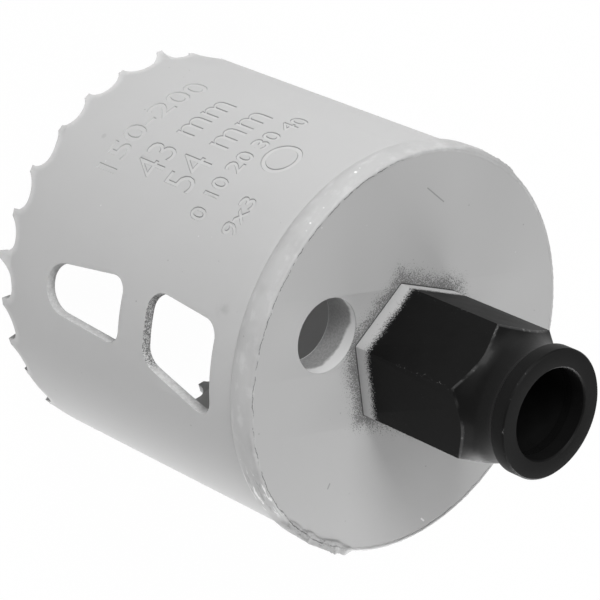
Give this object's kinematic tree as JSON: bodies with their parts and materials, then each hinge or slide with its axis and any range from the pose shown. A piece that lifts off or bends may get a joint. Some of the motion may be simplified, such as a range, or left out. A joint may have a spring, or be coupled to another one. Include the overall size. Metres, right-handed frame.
{
  "type": "hole saw",
  "caption": "Painted steel cup with set teeth round its rim, stepped windows in its wall, a thick end cap and a black hexagonal drive boss with a flange.",
  "frame": {"origin": "on the saw's axis, level with the tips of the teeth", "axes": "+Z along the axis from the teeth to the drive boss; +X through the middle of the front pair of windows"},
  "size_m": [0.0539, 0.0538, 0.0731],
  "materials": {
    "cup_paint": "satin light grey paint",
    "cap_paint": "satin light grey paint with black overspray round the boss",
    "weld_paint": "light grey paint over a rough weld bead",
    "boss_finish": "satin black"
  },
  "bodies": {
    "root": {"saw_cup": "cup_paint", "end_cap": "cap_paint", "rim_weld": "weld_paint", "drive_boss": "boss_finish"}
  },
  "joints": []
}
